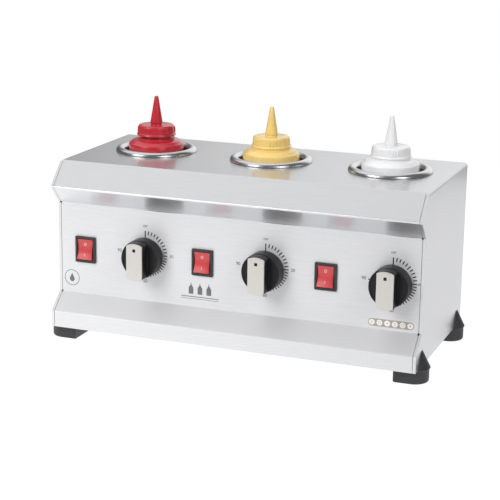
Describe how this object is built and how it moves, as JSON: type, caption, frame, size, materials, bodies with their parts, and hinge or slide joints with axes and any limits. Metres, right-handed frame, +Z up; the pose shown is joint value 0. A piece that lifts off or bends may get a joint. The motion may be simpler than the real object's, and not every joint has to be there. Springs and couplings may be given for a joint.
{
  "type": "heated sauce dispenser",
  "caption": "Counter-top sauce warmer: folded stainless case with heated wells holding squeeze bottles, each with its own rocker switch and thermostat knob.",
  "frame": {"origin": "on the counter, under the centre of the case", "axes": "+X along the length to the right, -Y out of the control panel, +Z up"},
  "size_m": [0.4604, 0.2298, 0.2757],
  "materials": {
    "case_steel": "fine horizontal grain, satin",
    "screws": "bright plated",
    "foot_rubber": "satin moulded",
    "well_steel": "mirror polished",
    "inner_steel": "plain mill finish",
    "bottle_plastic_left": "soft squeeze plastic, satin gloss",
    "seal_rubber": "soft natural",
    "knob_black": "gloss moulded",
    "knob_silver": "satin",
    "thermostat_case": "moulded phenolic",
    "shaft_steel": "turned",
    "copper_tube": "bright copper tube",
    "switch_black": "gloss moulded",
    "rocker_red": "translucent red, gloss",
    "bottle_plastic_middle": "soft squeeze plastic, satin gloss",
    "bottle_plastic_right": "soft squeeze plastic, satin gloss",
    "brass_parts": "plain",
    "lamp_glass": "clear envelope",
    "white_nylon": "moulded nylon",
    "black_nylon": "moulded nylon",
    "wire_brown": "pvc sleeving",
    "wire_blue": "pvc sleeving",
    "wire_green": "pvc sleeving"
  },
  "bodies": {
    "case": {"body_shell": "case_steel", "back_panel": "case_steel", "base_plate": "case_steel", "panel_screws": "screws", "foot_front_left": "foot_rubber", "foot_front_right": "foot_rubber", "foot_rear_left": "foot_rubber", "foot_rear_right": "foot_rubber", "foot_screws": "screws", "foot_nuts": "screws", "thermostat_screws": "screws", "heater_clamp_screws": "screws", "well_left": "well_steel", "well_clip_left": "inner_steel", "band_heater_left": "inner_steel", "thermostat_left": "thermostat_case", "capillary_left": "copper_tube", "switch_housing_left": "switch_black", "well_middle": "well_steel", "well_clip_middle": "inner_steel", "band_heater_middle": "inner_steel", "thermostat_middle": "thermostat_case", "capillary_middle": "copper_tube", "switch_housing_middle": "switch_black", "well_right": "well_steel", "well_clip_right": "inner_steel", "band_heater_right": "inner_steel", "thermostat_right": "thermostat_case", "capillary_right": "copper_tube", "switch_housing_right": "switch_black", "switch_terminals": "brass_parts", "switch_lamps": "lamp_glass", "terminal_block": "white_nylon", "earth_stud": "brass_parts", "cable_gland": "black_nylon", "gland_locknut": "black_nylon", "wiring_live": "wire_brown", "wiring_neutral": "wire_blue", "wiring_earth": "wire_green"},
    "knob_left": {"knob_left": "knob_black", "knob_face_left": "knob_silver", "thermostat_shaft_left": "shaft_steel"},
    "rocker_left": {"rocker_left": "rocker_red"},
    "bottle_left": {"bottle_left": "bottle_plastic_left"},
    "cap_seal_left": {"cap_seal_left": "seal_rubber"},
    "cap_left": {"cap_left": "bottle_plastic_left"},
    "knob_middle": {"knob_middle": "knob_black", "knob_face_middle": "knob_silver", "thermostat_shaft_middle": "shaft_steel"},
    "rocker_middle": {"rocker_middle": "rocker_red"},
    "bottle_middle": {"bottle_middle": "bottle_plastic_middle"},
    "cap_seal_middle": {"cap_seal_middle": "seal_rubber"},
    "cap_middle": {"cap_middle": "bottle_plastic_middle"},
    "knob_right": {"knob_right": "knob_black", "knob_face_right": "knob_silver", "thermostat_shaft_right": "shaft_steel"},
    "rocker_right": {"rocker_right": "rocker_red"},
    "bottle_right": {"bottle_right": "bottle_plastic_right"},
    "cap_seal_right": {"cap_seal_right": "seal_rubber"},
    "cap_right": {"cap_right": "bottle_plastic_right"}
  },
  "joints": [
    {"name": "knob_turn_left", "type": "hinge", "parent": "case", "child": "knob_left", "pos_m": [-0.1091, -0.0833, 0.1072], "axis": [0, 1, 0], "range_deg": [0, 270]},
    {"name": "rocker_tip_left", "type": "hinge", "parent": "case", "child": "rocker_left", "pos_m": [-0.1849, -0.0832, 0.1074], "axis": [1, 0, 0], "range_deg": [0, 16]},
    {"name": "bottle_lift_left", "type": "slide", "parent": "case", "child": "bottle_left", "axis": [0, 0, 1], "range_m": [0, 0.2]},
    {"name": "cap_lift_left", "type": "slide", "parent": "bottle_left", "child": "cap_seal_left", "axis": [0, 0, 1], "range_m": [0, 0.08]},
    {"name": "cap_twist_left", "type": "hinge", "parent": "cap_seal_left", "child": "cap_left", "pos_m": [-0.142, 0.0224, 0.23], "axis": [0, 0, 1], "range_deg": [0, 540]},
    {"name": "knob_turn_middle", "type": "hinge", "parent": "case", "child": "knob_middle", "pos_m": [0.0379, -0.0833, 0.1072], "axis": [0, 1, 0], "range_deg": [0, 270]},
    {"name": "rocker_tip_middle", "type": "hinge", "parent": "case", "child": "rocker_middle", "pos_m": [-0.0379, -0.0832, 0.1074], "axis": [1, 0, 0], "range_deg": [0, 16]},
    {"name": "bottle_lift_middle", "type": "slide", "parent": "case", "child": "bottle_middle", "axis": [0, 0, 1], "range_m": [0, 0.2]},
    {"name": "cap_lift_middle", "type": "slide", "parent": "bottle_middle", "child": "cap_seal_middle", "axis": [0, 0, 1], "range_m": [0, 0.08]},
    {"name": "cap_twist_middle", "type": "hinge", "parent": "cap_seal_middle", "child": "cap_middle", "pos_m": [0.0046, 0.0224, 0.23], "axis": [0, 0, 1], "range_deg": [0, 540]},
    {"name": "knob_turn_right", "type": "hinge", "parent": "case", "child": "knob_right", "pos_m": [0.1849, -0.0833, 0.1072], "axis": [0, 1, 0], "range_deg": [0, 270]},
    {"name": "rocker_tip_right", "type": "hinge", "parent": "case", "child": "rocker_right", "pos_m": [0.1091, -0.0832, 0.1074], "axis": [1, 0, 0], "range_deg": [0, 16]},
    {"name": "bottle_lift_right", "type": "slide", "parent": "case", "child": "bottle_right", "axis": [0, 0, 1], "range_m": [0, 0.2]},
    {"name": "cap_lift_right", "type": "slide", "parent": "bottle_right", "child": "cap_seal_right", "axis": [0, 0, 1], "range_m": [0, 0.08]},
    {"name": "cap_twist_right", "type": "hinge", "parent": "cap_seal_right", "child": "cap_right", "pos_m": [0.149, 0.0224, 0.23], "axis": [0, 0, 1], "range_deg": [0, 540]}
  ]
}
